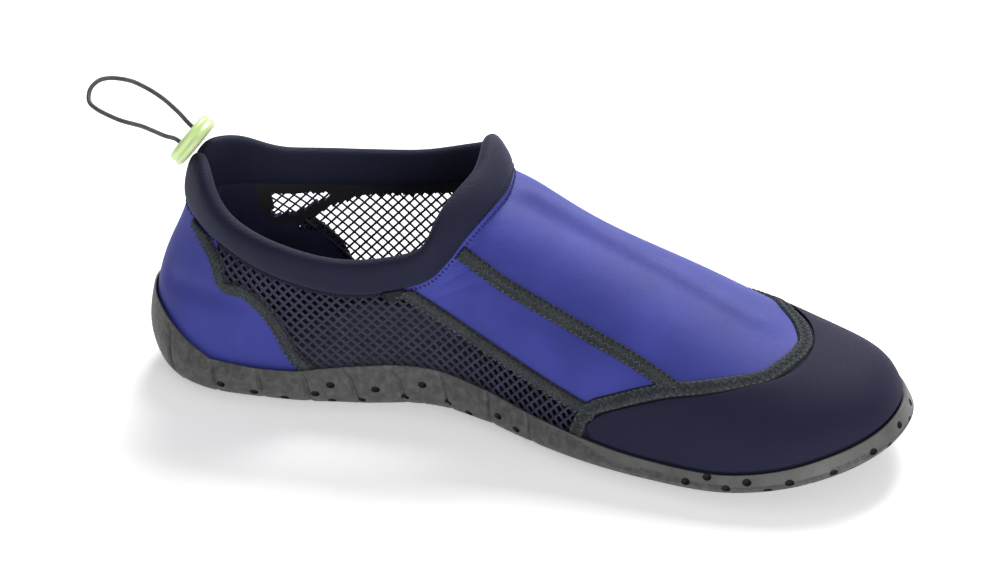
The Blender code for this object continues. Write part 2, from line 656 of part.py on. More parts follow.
def make_cord_lock(collar):
    """The lock: an oval spool of two rounded rims, with two holes for the cord."""
    middle, axis = lock_frame(collar)
    # share of the width, share of half the thickness
    profile = [
        (0.82, -1.0), (0.97, -0.78), (1.0, -0.48), (0.96, -0.18), (0.90, -0.04), (0.90, 0.10), (0.95, 0.24),
        (0.97, 0.50), (0.93, 0.82), (0.80, 1.0),
    ]
    beside = np.cross(axis, [0.0, 1.0, 0.0])
    sides = 24
    angles = np.linspace(0, 2 * pi, sides, endpoint=False)
    points = []
    for share, height in profile:
        for angle in angles:
            across = np.array([0.0, LOCK_WIDTH / 2 * share * cos(angle), 0.0])
            down = beside * LOCK_DEPTH / 2 * share * sin(angle)
            points.append(middle + axis * height * LOCK_THICKNESS / 2 + across + down)
    faces = []
    for i in range(len(profile) - 1):
        for j in range(sides):
            after = (j + 1) % sides
            faces.append((i * sides + j, i * sides + after, (i + 1) * sides + after, (i + 1) * sides + j))
    faces.append(tuple(range(sides)))
    faces.append(tuple((len(profile) - 1) * sides + j for j in range(sides)))
    made = add_object("cord_lock", points, faces, material("lime plastic", (0.62, 0.80, 0.30), 0.35))
    for side in (-1, 1):
        bpy.ops.mesh.primitive_cylinder_add(
            vertices=12, radius=CORD_DIAMETER / 2 + HOLE_PLAY, depth=0.06,
            location=Vector(middle) + Vector((0, side * CORD_SPACING / 2, 0)),
            rotation=Vector((0, 0, 1)).rotation_difference(Vector(axis)).to_euler(),
        )
        cutter = bpy.context.object
        cutter.name = "hole_guide_" + ("outer" if side > 0 else "inner")
        cutter.hide_render = True
        cutter.display_type = "WIRE"
        hole = made.modifiers.new("cord hole", "BOOLEAN")
        hole.operation = "DIFFERENCE"
        hole.solver = "EXACT"
        hole.object = cutter
    return made


def make_drawcord(collar):
    """The cord's free loop: out of one hole of the lock, back over the heel and into the other."""
    middle, axis = lock_frame(collar)
    spacing = np.array([0.0, CORD_SPACING / 2, 0.0])
    start, end = middle + spacing, middle - spacing
    leave = axis * (LOCK_THICKNESS / 2 + CORD_DIAMETER)
    inside = axis * -(LOCK_THICKNESS / 2 - CORD_DIAMETER / 4)
    stops = [start + inside, start, start + leave]
    stops += [middle + np.array(place) for place in CORD_LOOP]
    stops += [end + leave, end, end + inside]
    fine = smooth_path(stops)
    route = spaced(fine, 60, lambda places: places)
    curve = bpy.data.curves.new("drawcord", "CURVE")
    curve.dimensions = "3D"
    curve.bevel_depth = CORD_DIAMETER / 2
    curve.bevel_resolution = 1
    curve.use_fill_caps = True
    line = curve.splines.new("POLY")
    line.points.add(len(route) - 1)
    for point, place in zip(line.points, route):
        point.co = (*place, 1.0)
    curve.materials.append(material("cord", (0.07, 0.07, 0.08), 0.8))
    made = bpy.data.objects.new("drawcord", curve)
    bpy.context.scene.collection.objects.link(made)
    return made


def centre_on_ground(objects):
    """Puts the origin under the middle of the shoe, on the ground."""
    corners = np.array([vertex.co[:] for made in objects for vertex in made.data.vertices])
    low, high = corners.min(axis=0), corners.max(axis=0)
    shift = Vector((-(low[0] + high[0]) / 2, -(low[1] + high[1]) / 2, -low[2]))
    for made in bpy.context.scene.objects:
        made.location += shift


for old in list(bpy.data.objects):
    bpy.data.objects.remove(old, do_unlink=True)

shell = make_upper()
sole = make_outsole()
bed = make_insole()
band = make_collar()
solids = [shell, sole, bed, band]
facets = BVHTree.FromObject(shell, bpy.context.evaluated_depsgraph_get())
for side, word, back in ((-1, "inner", 0.0), (1, "outer", OUTER_SET_BACK)):
    for tape, seam in (("upper_tape_", UPPER_SEAM), ("lower_tape_", LOWER_SEAM), ("heel_tape_", HEEL_SEAM)):
        stops = [address(along - back, share, side) for along, share in seam]
        solids.append(make_tape(tape + word, stops, 14, facets))
solids.append(make_tape("toe_tape", toe_stops(), 36, facets))
solids.append(make_toe_cap(facets))
lock = make_cord_lock(band)
cord = make_drawcord(band)
centre_on_ground(solids)
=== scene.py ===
import math

import bmesh
import bpy
from mathutils import Matrix, Vector
from mathutils.bvhtree import BVHTree


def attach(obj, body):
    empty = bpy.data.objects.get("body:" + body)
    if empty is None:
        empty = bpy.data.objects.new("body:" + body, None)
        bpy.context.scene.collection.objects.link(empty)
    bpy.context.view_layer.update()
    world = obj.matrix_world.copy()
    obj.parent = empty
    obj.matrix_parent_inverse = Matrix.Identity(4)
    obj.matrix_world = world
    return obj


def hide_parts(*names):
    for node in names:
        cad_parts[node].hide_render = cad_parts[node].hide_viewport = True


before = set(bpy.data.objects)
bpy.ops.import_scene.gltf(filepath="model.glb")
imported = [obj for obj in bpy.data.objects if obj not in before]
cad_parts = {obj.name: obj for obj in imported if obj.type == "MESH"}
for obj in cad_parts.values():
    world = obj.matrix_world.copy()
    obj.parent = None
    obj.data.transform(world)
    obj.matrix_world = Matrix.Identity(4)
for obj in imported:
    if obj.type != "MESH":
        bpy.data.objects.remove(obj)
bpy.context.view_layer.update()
print("frame loaded")

# the last, in metres: heel end of the last at heelX, toe at +X, inner side of the foot at -Y
shoe = {
    "lastLength": 0.270,
    "heelX": -0.1349,
    "outerShift": -0.008,  # seams of the outer side start a little nearer the heel
    "outerLift": 0.0038,   # and climb higher under the collar, by this much at the top
    "liftFrom": 0.035,
    "liftOver": 0.033,
    "openingFrom": 0.035,  # above this height the skin's open edge is the collar's opening
    "beside": 0.12,        # clear of the shoe on either side, where rays to its walls start
    "above": 0.2,
    "wallNear": 0.03,      # about where a side wall is, for a ray that misses
}

# the view of the photograph, moved in until the one shoe fills the frame
view = {
    "azimuth": 20.6,
    "elevation": 28.4,
    "roll": -2.1,
    "distance": 1.644,
    "lens": 172.0,
    "target": (0.0, 0.0, 0.035),
    "slide": (-0.0084, 0.0093),  # right and up in the picture
}


def viewAxes():
    turn, rise, roll = (math.radians(view[key]) for key in ("azimuth", "elevation", "roll"))
    back = Vector((math.sin(turn) * math.cos(rise), -math.cos(turn) * math.cos(rise), math.sin(rise)))
    right = Vector((math.cos(turn), math.sin(turn), 0))
    up = back.cross(right)
    return right * math.cos(roll) + up * math.sin(roll), up * math.cos(roll) - right * math.sin(roll), back


def addCamera():
    right, up, back = viewAxes()
    place = Vector(view["target"]) + right * view["slide"][0] + up * view["slide"][1]
    place += back * view["distance"]
    bpy.ops.object.camera_add(location=place)
    camera = bpy.context.object
    camera.rotation_euler = Matrix((right, up, back)).transposed().to_euler()
    camera.data.lens = view["lens"]
    camera.data.clip_end = 20
    bpy.context.scene.camera = camera


addCamera()
print("camera set")


# small helpers, as one works by hand: select, edit, apply
def pick(piece):
    if bpy.context.object and bpy.context.object.mode != "OBJECT":
        bpy.ops.object.mode_set(mode="OBJECT")
    bpy.ops.object.select_all(action="DESELECT")
    piece.select_set(True)
    bpy.context.view_layer.objects.active = piece


def edit(piece, selectAll=True):
    pick(piece)
    bpy.ops.object.mode_set(mode="EDIT")
    bpy.ops.mesh.select_mode(type="FACE")
    bpy.ops.mesh.select_all(action="SELECT" if selectAll else "DESELECT")


def leaveEdit():
    bpy.ops.object.mode_set(mode="OBJECT")


def applyModifiers(piece):
    pick(piece)
    for modifier in list(piece.modifiers):
        bpy.ops.object.modifier_apply(modifier=modifier.name)


def applyPlace(piece):
    pick(piece)
    bpy.ops.object.transform_apply(location=True, rotation=True, scale=True)


def smoothBy(piece, levels):
    soft = piece.modifiers.new("smooth", "SUBSURF")
    soft.levels = soft.render_levels = levels
    applyModifiers(piece)
    bpy.ops.object.shade_smooth()


def cleanCopy(node, name):
    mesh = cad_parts[node].data.copy()
    mesh.name = name
    mesh.materials.clear()
    piece = bpy.data.objects.new(name, mesh)
    bpy.context.scene.collection.objects.link(piece)
    pick(piece)
    bpy.ops.mesh.customdata_custom_splitnormals_clear()
    edit(piece)
    bpy.ops.mesh.remove_doubles(threshold=0.00002)
    bpy.ops.mesh.tris_convert_to_quads(face_threshold=math.radians(60), shape_threshold=math.radians(60))
    leaveEdit()
    return piece


def selectFaces(piece, wanted):
    for face in piece.data.polygons:
        face.select = wanted(face)
    for edge in piece.data.edges:
        edge.select = False
    for corner in piece.data.vertices:
        corner.select = False


def joinPieces(pieces, name):
    pick(pieces[0])
    for piece in pieces[1:]:
        piece.select_set(True)
    bpy.ops.object.join()
    joined = bpy.context.object
    joined.name = joined.data.name = name
    return joined


# materials: a cloudy base colour, a fine grain in the bump and an uneven roughness
def finish(name, looks):
    made = bpy.data.materials.new(name)
    made.use_nodes = True
    tree = made.node_tree
    shader = tree.nodes["Principled BSDF"]
    coords = tree.nodes.new("ShaderNodeTexCoord")

    def noise(scale, detail, rough=0.55):
        node = tree.nodes.new("ShaderNodeTexNoise")
        node.inputs["Scale"].default_value = scale
        node.inputs["Detail"].default_value = detail
        node.inputs["Roughness"].default_value = rough
        tree.links.new(coords.outputs["Object"], node.inputs["Vector"])
        return node.outputs["Fac"]

    def ramp(source, low, high):
        node = tree.nodes.new("ShaderNodeMapRange")
        node.inputs["From Min"].default_value = 0.3
        node.inputs["From Max"].default_value = 0.7
        node.inputs["To Min"].default_value = low
        node.inputs["To Max"].default_value = high
        tree.links.new(source, node.inputs["Value"])
        return node.outputs["Result"]

    def mix(factor, one, two):
        node = tree.nodes.new("ShaderNodeMix")
        node.data_type = "RGBA"
        for socket, value in ((node.inputs[6], one), (node.inputs[7], two)):
            if isinstance(value, tuple):
                socket.default_value = (*value, 1)
            else:
                tree.links.new(value, socket)
        tree.links.new(factor, node.inputs[0])
        return node.outputs[2]

    colour = mix(ramp(noise(looks["cloudScale"], 3), 0, 1), looks["dark"], looks["light"])
    speck = looks.get("speck")
    if speck:
        flecks = noise(speck["scale"], 2)
        colour = mix(ramp(flecks, speck["low"], speck["high"]), colour, speck["colour"])
    tree.links.new(colour, shader.inputs["Base Color"])
    grain = noise(looks["grainScale"], 3, 0.6)
    bump = tree.nodes.new("ShaderNodeBump")
    bump.inputs["Strength"].default_value = looks["grainStrength"]
    bump.inputs["Distance"].default_value = looks["grainDepth"]
    height = grain
    rib = looks.get("rib")
    if rib:
        wave = tree.nodes.new("ShaderNodeTexWave")
        wave.wave_type = "BANDS"
        wave.bands_direction = rib["along"]
        wave.inputs["Scale"].default_value = rib["scale"]
        wave.inputs["Distortion"].default_value = rib["wander"]
        wave.inputs["Detail"].default_value = 1
        tree.links.new(coords.outputs["Object"], wave.inputs["Vector"])
        add = tree.nodes.new("ShaderNodeMath")
        add.operation = "MULTIPLY_ADD"
        add.inputs[1].default_value = rib["share"]
        tree.links.new(wave.outputs["Fac"], add.inputs[0])
        tree.links.new(grain, add.inputs[2])
        height = add.outputs[0]
    tree.links.new(height, bump.inputs["Height"])
    tree.links.new(bump.outputs["Normal"], shader.inputs["Normal"])
    tree.links.new(ramp(grain, looks["rough"] - 0.06, looks["rough"] + 0.06), shader.inputs["Roughness"])
    shader.inputs["Specular IOR Level"].default_value = looks.get("specular", 0.3)
    shader.inputs["Sheen Weight"].default_value = looks.get("sheen", 0.0)
    shader.inputs["Sheen Roughness"].default_value = 0.4
    shader.inputs["Sheen Tint"].default_value = (*looks.get("sheenTint", (1, 1, 1)), 1)
    shader.inputs["Coat Weight"].default_value = looks.get("coat", 0.0)
    shader.inputs["Coat Roughness"].default_value = 0.3
    shader.inputs["Subsurface Weight"].default_value = looks.get("glow", 0.0)
    shader.inputs["Subsurface Radius"].default_value = (0.4, 1.0, 0.3)
    shader.inputs["Subsurface Scale"].default_value = 0.004
    return made


finishes = {
    "blueNeoprene": {
        "dark": (0.038, 0.045, 0.256), "light": (0.054, 0.062, 0.350), "cloudScale": 34,
        "grainScale": 1500, "grainStrength": 0.22, "grainDepth": 0.0003, "rough": 0.66,
        "sheen": 0.1, "sheenTint": (0.5, 0.55, 1.0), "specular": 0.24,
    },
    "blueLining": {
        "dark": (0.014, 0.014, 0.040), "light": (0.022, 0.022, 0.062), "cloudScale": 30,
        "grainScale": 1200, "grainStrength": 0.3, "grainDepth": 0.0004, "rough": 0.85, "specular": 0.2,
    },
    "navyToe": {
        "dark": (0.016, 0.016, 0.038), "light": (0.020, 0.020, 0.046), "cloudScale": 18,
        "grainScale": 1700, "grainStrength": 0.2, "grainDepth": 0.0003, "rough": 0.72,
        "sheen": 0.02, "specular": 0.09,
    },
    "navyCollar": {
        "dark": (0.012, 0.013, 0.031), "light": (0.017, 0.018, 0.041), "cloudScale": 26,
        "grainScale": 1300, "grainStrength": 0.3, "grainDepth": 0.0004, "rough": 0.75,
        "sheen": 0.08, "sheenTint": (0.6, 0.68, 1.0), "specular": 0.14,
        "rib": {"along": "Z", "scale": 420, "wander": 1.2, "share": 0.35},
    },
    "navyNet": {
        "dark": (0.034, 0.035, 0.066), "light": (0.050, 0.052, 0.094), "cloudScale": 120,
        "grainScale": 2400, "grainStrength": 0.5, "grainDepth": 0.0004, "rough": 0.8, "specular": 0.25,
    },
    "oliveTape": {
        "dark": (0.026, 0.031, 0.038), "light": (0.042, 0.049, 0.056), "cloudScale": 90,
        "speck": {"scale": 700, "low": -0.5, "high": 0.7, "colour": (0.066, 0.072, 0.074)},
        "grainScale": 2600, "grainStrength": 0.6, "grainDepth": 0.0004, "rough": 0.85, "specular": 0.2,
    },
    "darkThread": {
        "dark": (0.010, 0.010, 0.014), "light": (0.018, 0.018, 0.024), "cloudScale": 200,
        "grainScale": 4000, "grainStrength": 0.4, "grainDepth": 0.0002, "rough": 0.8,
    },
    "oliveThread": {
        "dark": (0.050, 0.056, 0.056), "light": (0.090, 0.098, 0.094), "cloudScale": 200,
        "grainScale": 4000, "grainStrength": 0.4, "grainDepth": 0.0002, "rough": 0.8,
    },
    "greyRubber": {
        "dark": (0.050, 0.050, 0.050), "light": (0.084, 0.084, 0.084), "cloudScale": 260,
        "speck": {"scale": 420, "low": -0.4, "high": 0.6, "colour": (0.125, 0.124, 0.118)},
        "grainScale": 1400, "grainStrength": 0.18, "grainDepth": 0.0003, "rough": 0.58, "specular": 0.35,
    },
    # darker rubber for the dents' walls: painted shade in the recesses
    "dentPaintedShade": {
        "dark": (0.012, 0.012, 0.012), "light": (0.020, 0.020, 0.020), "cloudScale": 60,
        "grainScale": 1400, "grainStrength": 0.1, "grainDepth": 0.0002, "rough": 0.7,
    },
    # lighter rubber for the rim's upward faces: a painted highlight
    "paintedRimHighlight": {
        "dark": (0.085, 0.086, 0.084), "light": (0.125, 0.126, 0.122), "cloudScale": 120,
        "grainScale": 1400, "grainStrength": 0.18, "grainDepth": 0.0003, "rough": 0.5, "specular": 0.4,
    },
    "blackFoam": {
        "dark": (0.010, 0.010, 0.013), "light": (0.020, 0.020, 0.025), "cloudScale": 40,
        "grainScale": 1500, "grainStrength": 0.5, "grainDepth": 0.0005, "rough": 0.9,
    },
    "limePlastic": {
        "dark": (0.560, 0.760, 0.290), "light": (0.690, 0.850, 0.430), "cloudScale": 60,
        "grainScale": 500, "grainStrength": 0.06, "grainDepth": 0.0003, "rough": 0.38,
        "glow": 0.35, "coat": 0.25, "specular": 0.5,
    },
    "greyCord": {
        "dark": (0.060, 0.060, 0.066), "light": (0.110, 0.110, 0.118), "cloudScale": 300,
        "grainScale": 3000, "grainStrength": 0.6, "grainDepth": 0.0002, "rough": 0.7,
    },
}
materials = {name: finish(name, looks) for name, looks in finishes.items()}
print("materials made")


# the drawcord and its lock
cordLook = {"diameter": 0.0016, "spacing": 0.0120, "points": 150}
lockLook = {
    "middle": (-0.1204, -0.0003, 0.0835),
    "axis": (-0.80, 0.0, 0.60),
    "size": (0.0225, 0.0185, 0.0056),
    "holeRadius": 0.0011,
}
# share of the oval's size at each share of half the thickness
lockProfile = [
    (0.74, -1.0), (0.88, -0.94), (0.96, -0.80), (1.0, -0.54), (0.995, -0.30), (0.965, -0.14), (0.95, -0.02),
    (0.95, 0.08), (0.965, 0.18), (0.985, 0.32), (0.985, 0.54), (0.95, 0.78), (0.87, 0.93), (0.72, 1.0),
]
cordLoop = [
    (-0.0075, 0.0064, 0.0064), (-0.0130, 0.0080, 0.0096), (-0.0175, 0.0090, 0.0116),
    (-0.0219, 0.0096, 0.0132), (-0.0261, 0.0096, 0.0146), (-0.0302, 0.0088, 0.0154),
    (-0.0337, 0.0070, 0.0160), (-0.0360, 0.0040, 0.0162), (-0.0374, 0.0006, 0.0151),
    (-0.0373, -0.0024, 0.0134), (-0.0355, -0.0056, 0.0120), (-0.0313, -0.0080, 0.0110),
    (-0.0261, -0.0094, 0.0100), (-0.0216, -0.0098, 0.0090), (-0.0151, -0.0090, 0.0076),
    (-0.0111, -0.0080, 0.0058), (-0.0073, -0.0068, 0.0038),
]


# a smooth curve through the stops, with its places an even step apart
def smoothRun(stops, count):
    stops = [Vector(stop) for stop in stops]
    padded = [stops[0] * 2 - stops[1]] + stops + [stops[-1] * 2 - stops[-2]]
    fine, steps = [], 16
    for before, start, end, after in zip(padded, padded[1:], padded[2:], padded[3:]):
        for i in range(steps):
            t = i / steps
            bend = before * 2 - start * 5 + end * 4 - after
            twist = start * 3 - before - end * 3 + after
            fine.append((start * 2 + (end - before) * t + bend * t**2 + twist * t**3) / 2)
    fine.append(stops[-1])
    lengths = [0.0]
    for one, two in zip(fine, fine[1:]):
        lengths.append(lengths[-1] + (two - one).length)
    run, k = [], 0
    for i in range(count):
        wanted = lengths[-1] * i / (count - 1)
        while k < len(fine) - 2 and lengths[k + 1] < wanted:
            k += 1
        gap = max(lengths[k + 1] - lengths[k], 1e-12)
        run.append(fine[k].lerp(fine[k + 1], min(max((wanted - lengths[k]) / gap, 0), 1)))
    return run, lengths[-1]


def makeCord():
    middle, axis = Vector(lockLook["middle"]), Vector(lockLook["axis"]).normalized()
    half = Vector((0, cordLook["spacing"] / 2, 0))
    inside = axis * -(lockLook["size"][2] / 2 - cordLook["diameter"] / 4)
    leave = axis * (lockLook["size"][2] / 2 + cordLook["diameter"])
    stops = [middle + half + inside, middle + half, middle + half + leave]
    stops += [middle + Vector(place) for place in cordLoop]
    stops += [middle - half + leave, middle - half, middle - half + inside]
    route, length = smoothRun(stops, cordLook["points"])
    curve = bpy.data.curves.new("drawcordLoop", "CURVE")
    curve.dimensions = "3D"
    curve.bevel_depth = cordLook["diameter"] / 2
    curve.bevel_resolution = 4
    curve.use_fill_caps = True
    line = curve.splines.new("POLY")
    line.points.add(len(route) - 1)
    for point, place in zip(line.points, route):
        point.co = (*place, 1)
    curve.materials.append(materials["greyCord"])
    cord = bpy.data.objects.new("drawcordLoop", curve)
    bpy.context.scene.collection.objects.link(cord)
    return cord, route[0], length


def boolean(piece, other, operation):
    cut = piece.modifiers.new(operation.lower(), "BOOLEAN")
    cut.operation, cut.solver, cut.object = operation, "EXACT", other
    applyModifiers(piece)
    bpy.data.objects.remove(other, do_unlink=True)


# the lock: a disc raised ring by ring into a spool with two rounded rims, then drilled for the cord
def makeLock():
    width, depth, thickness = lockLook["size"]
    bpy.ops.mesh.primitive_circle_add(vertices=72, radius=0.5, fill_type="NGON")
    lock = bpy.context.object
    first, low = lockProfile[0]
    lock.scale = (depth * first, width * first, 1)
    lock.location = (0, 0, low * thickness / 2)
    applyPlace(lock)
    edit(lock)
    for (before, low), (share, high) in zip(lockProfile, lockProfile[1:]):
        rise = (high - low) * thickness / 2
        bpy.ops.mesh.extrude_region_move(TRANSFORM_OT_translate={"value": (0, 0, rise)})
        bpy.ops.transform.resize(value=(share / before, share / before, 1), center_override=(0, 0, 0))
    bpy.ops.mesh.select_all(action="SELECT")
    bpy.ops.mesh.normals_make_consistent(inside=False)
    leaveEdit()
    for side in (-1, 1):
        bpy.ops.mesh.primitive_cylinder_add(
            vertices=24, radius=lockLook["holeRadius"], depth=0.05,
            location=(0, side * cordLook["spacing"] / 2, 0),
        )
        hole = bpy.context.object
        applyPlace(hole)
        boolean(lock, hole, "DIFFERENCE")
    axis = Vector(lockLook["axis"]).normalized()
    across = Vector((0, 1, 0))
    turned = Matrix((across.cross(axis), across, axis)).transposed().to_4x4()
    lock.data.transform(Matrix.Translation(lockLook["middle"]) @ turned)
    lock.name = lock.data.name = "cordLockBody"
    lock.data.materials.clear()
    lock.data.materials.append(materials["limePlastic"])
    pick(lock)
    bpy.ops.object.shade_smooth_by_angle(angle=math.radians(40))
    return lock


lockBody = makeLock()
cordPiece, cordExit, cordLength = makeCord()
print("cord and lock made", round(cordLength, 4))


# the upper's outer skin, from the CAD shell: one wall, smoothed, with its soft folds
folds = [
    {"path": [(0.000, 0.0150, 0.0735), (0.014, 0.0140, 0.0677), (0.038, 0.0092, 0.0589),
              (0.0637, 0.0040, 0.0501), (0.085, -0.001, 0.0430)],
     "width": 0.0042, "height": 0.0012},
    {"path": [(-0.1240, -0.0170, 0.0365), (-0.1111, -0.0238, 0.0377), (-0.1032, -0.0262, 0.0386),
              (-0.0940, -0.0285, 0.0375)],
     "width": 0.0042, "height": -0.0013},
    {"path": [(-0.1240, 0.0170, 0.0365), (-0.1111, 0.0238, 0.0377), (-0.1000, 0.0270, 0.0385)],
     "width": 0.0042, "height": -0.0011},
    {"path": [(0.014, -0.012, 0.0640), (0.020, 0.002, 0.0665), (0.023, 0.014, 0.0640)],
     "width": 0.0030, "height": -0.0002},
    {"path": [(0.036, -0.014, 0.0560), (0.041, 0.000, 0.0585), (0.043, 0.012, 0.0560)],
     "width": 0.0034, "height": -0.00025},
    {"path": [(0.060, -0.012, 0.0480), (0.064, 0.000, 0.0495), (0.066, 0.010, 0.0480)],
     "width": 0.0034, "height": -0.0002},
    {"path": [(-0.004, -0.034, 0.0330), (0.014, -0.037, 0.0300), (0.030, -0.039, 0.0260)],
     "width": 0.0070, "height": 0.0006},
    {"path": [(-0.006, -0.0300, 0.0470), (0.012, -0.0320, 0.0420), (0.034, -0.0330, 0.0360)],
     "width": 0.0070, "height": 0.0005},
]


def foldHeight(place):
    total = 0.0
    for fold in folds:
        path = [Vector(stop) for stop in fold["path"]]
        nearest = 1.0
        for one, two in zip(path, path[1:]):
            along = two - one
            share = min(max((place - one).dot(along) / along.length_squared, 0), 1)
            nearest = min(nearest, (place - one - along * share).length)
        total += fold["height"] * math.exp(-((nearest / fold["width"]) ** 2))
    return total


def makeSkin():
    skin = cleanCopy("upper", "upperSkin")
    # the number of the face is kept, not the face, which edit mode replaces
    seed = min((f for f in skin.data.polygons if f.normal.y < -0.5), key=lambda f: f.center.y).index
    edit(skin, selectAll=False)
    leaveEdit()
    selectFaces(skin, lambda face: face.index == seed)
    bpy.ops.object.mode_set(mode="EDIT")
    bpy.ops.mesh.faces_select_linked_flat(sharpness=math.radians(68))
    bpy.ops.mesh.select_all(action="INVERT")
    bpy.ops.mesh.delete(type="FACE")
    leaveEdit()
    smoothBy(skin, 2)
    normals = [corner.normal.copy() for corner in skin.data.vertices]
    for corner, normal in zip(skin.data.vertices, normals):
        corner.co += normal * foldHeight(corner.co)
    skin.data.update()
    return skin


skin = makeSkin()
skinTree = BVHTree.FromPolygons([v.co for v in skin.data.vertices], [f.vertices for f in skin.data.polygons])
print("skin made", len(skin.data.polygons), "faces")


# seams, listed: share of the last's length from the heel, height in metres
seams = {
    "upper": [(0.448, 0.0628), (0.504, 0.0552), (0.564, 0.0492), (0.626, 0.0439), (0.683, 0.0394),
              (0.740, 0.0339)],
    "lower": [(0.375, 0.0504), (0.431, 0.0413), (0.494, 0.0335), (0.563, 0.0270), (0.633, 0.0217)],
    "heel": [(0.112, 0.0564), (0.113, 0.0499), (0.126, 0.0419), (0.155, 0.0420), (0.184, 0.0383),
             (0.206, 0.0311), (0.223, 0.0215), (0.238, 0.0165)],
    "toe": [(0.612, 0.0100), (0.633, 0.0217), (0.669, 0.0269), (0.727, 0.0324), (0.775, 0.0344),
            (0.823, 0.0359)],
    "toeOuter": [(0.800, 0.0352), (0.765, 0.0336), (0.715, 0.0309), (0.661, 0.0253), (0.625, 0.0203),
                 (0.604, 0.0110)],
}
# share and sideways place of the toe seam's crown
toeTop = [
    (0.851, -0.0236), (0.8707, -0.0121), (0.8745, -0.0055), (0.8726, 0.0000), (0.854, 0.0096),
    (0.828, 0.0185),
]


def along(share):
    return shoe["heelX"] + share * shoe["lastLength"]


def seamPlace(share, height, side):
    x, z = along(share), height
    if side > 0:
        x += shoe["outerShift"] * shoe["lastLength"]
        z += shoe["outerLift"] * max(0.0, (height - shoe["liftFrom"]) / shoe["liftOver"]) ** 2
    return x, z


def wallPoint(share, height, side, moved=True):
    x, z = seamPlace(share, height, side if moved else 0)
    hit = skinTree.ray_cast(Vector((x, side * shoe["beside"], z)), Vector((0, -side, 0)))[0]
    return hit or skinTree.find_nearest(Vector((x, side * shoe["wallNear"], z)))[0]


def topPoint(share, y):
    return skinTree.ray_cast(Vector((along(share), y, shoe["above"])), Vector((0, 0, -1)))[0]


# a run on the skin: its places, their normals and the way it goes
def skinRun(points, count, ahead=0.0):
    if ahead:
        points = [points[0] + (points[0] - points[1]).normalized() * ahead] + points
        points = points + [points[-1] + (points[-1] - points[-2]).normalized() * ahead]
    places, length = smoothRun(points, count)
    run = []
    for i, place in enumerate(places):
        spot, normal = skinTree.find_nearest(place)[:2]
        forward = (places[min(i + 1, count - 1)] - places[max(i - 1, 0)]).normalized()
        run.append((spot, normal, forward))
    return run, length


def seamRun(name, side, count, ahead):
    return skinRun([wallPoint(share, height, side) for share, height in seams[name]], count, ahead)


def toeRun(count, ahead):
    points = [wallPoint(share, height, -1) for share, height in seams["toe"]]
    points += [topPoint(share, y) for share, y in toeTop]
    points += [wallPoint(share, height, 1, moved=False) for share, height in seams["toeOuter"]]
    return skinRun(points, count, ahead)


tapeLook = {
    "width": 0.0052, "toeWidth": 0.0056, "rise": 0.0011, "clear": 0.0001, "thickness": 0.0007, "across": 8,
    "threadShare": 0.40, "toeThreadAside": 0.0019,
}


# a tape: a strip of a grid laid along a run, crowned, then given its thickness
def makeTape(name, run, width):
    across = tapeLook["across"]
    bpy.ops.mesh.primitive_grid_add(x_subdivisions=across, y_subdivisions=len(run) - 1, size=1)
    tape = bpy.context.object
    tape.name = tape.data.name = name
    for j, (spot, normal, forward) in enumerate(run):
        aside = forward.cross(normal).normalized()
        for i in range(across + 1):
            share = 2 * i / across - 1
            place, up = skinTree.find_nearest(spot + aside * share * width / 2)[:2]
            crown = tapeLook["rise"] * (1 - abs(share) ** 4) + tapeLook["clear"]
            tape.data.vertices[j * (across + 1) + i].co = place + up * crown
    tape.data.update()
    edit(tape)
    bpy.ops.mesh.normals_make_consistent(inside=False)
    leaveEdit()
    middle = tape.data.polygons[len(tape.data.polygons) // 2]
    if middle.normal.dot(skinTree.find_nearest(middle.center)[1]) < 0:
        edit(tape)
        bpy.ops.mesh.flip_normals()
        leaveEdit()
    wall = tape.modifiers.new("thickness", "SOLIDIFY")
    wall.thickness, wall.offset = tapeLook["thickness"], -1
    applyModifiers(tape)
    bpy.ops.object.shade_smooth()
    tape.data.materials.clear()
    tape.data.materials.append(materials["oliveTape"])
    return tape


# the stitches: pitch along the seam, size as length, width and height, slant either way, lift off the skin
stitchLook = {
    "edge": {"pitch": 0.0021, "size": (0.0019, 0.0007, 0.0006), "slant": 0.35, "lift": 0.0009},
    "zigzag": {"pitch": 0.0013, "size": (0.0021, 0.0004, 0.0004), "slant": 0.9, "lift": 0.0012},
    "toeEdge": {"pitch": 0.0022, "size": (0.0020, 0.0007, 0.0006), "slant": 0.3, "lift": 0.0009},
    "toeZigzag": {"pitch": 0.0014, "size": (0.0026, 0.0004, 0.0004), "slant": 1.0, "lift": 0.0012},
    "collar": {"pitch": 0.0016, "size": (0.0013, 0.0005, 0.0005), "slant": 1.1, "lift": 0.0003},
}


# one stitch of thread, copied along a run
def stitchRow(name, run, length, aside, thread, kind):
    look = stitchLook[kind]
    size = look["size"]
    bpy.ops.mesh.primitive_uv_sphere_add(segments=6, ring_count=5, radius=0.5)
    template = bpy.context.object
    corners = [corner.co.copy() for corner in template.data.vertices]
    faces = [tuple(face.vertices) for face in template.data.polygons]
    bpy.data.objects.remove(template, do_unlink=True)
    points, polygons = [], []
    count = max(int(length / look["pitch"]), 1)
    for k in range(count):
        at = (k + 0.5) / count * (len(run) - 1)
        spot, normal, forward = run[int(at)]
        after = run[min(int(at) + 1, len(run) - 1)]
        spot = spot.lerp(after[0], at - int(at))
        sideways = forward.cross(normal).normalized()
        place, up = skinTree.find_nearest(spot + sideways * aside)[:2]
        place += up * look["lift"]
        tilt = look["slant"] * (1 if k % 2 else -1)
        long = (forward * math.cos(tilt) + sideways * math.sin(tilt)).normalized()
        wide = up.cross(long).normalized()
        start = len(points)
        for corner in corners:
            point = place + long * corner.x * size[0] + wide * corner.y * size[1]
            points.append(point + up * corner.z * size[2])
        polygons += [tuple(start + i for i in face) for face in faces]
    mesh = bpy.data.meshes.new(name)
    mesh.from_pydata([tuple(point) for point in points], [], polygons)
    mesh.shade_smooth()
    mesh.materials.append(materials[thread])
    row = bpy.data.objects.new(name, mesh)
    bpy.context.scene.collection.objects.link(row)
    return row


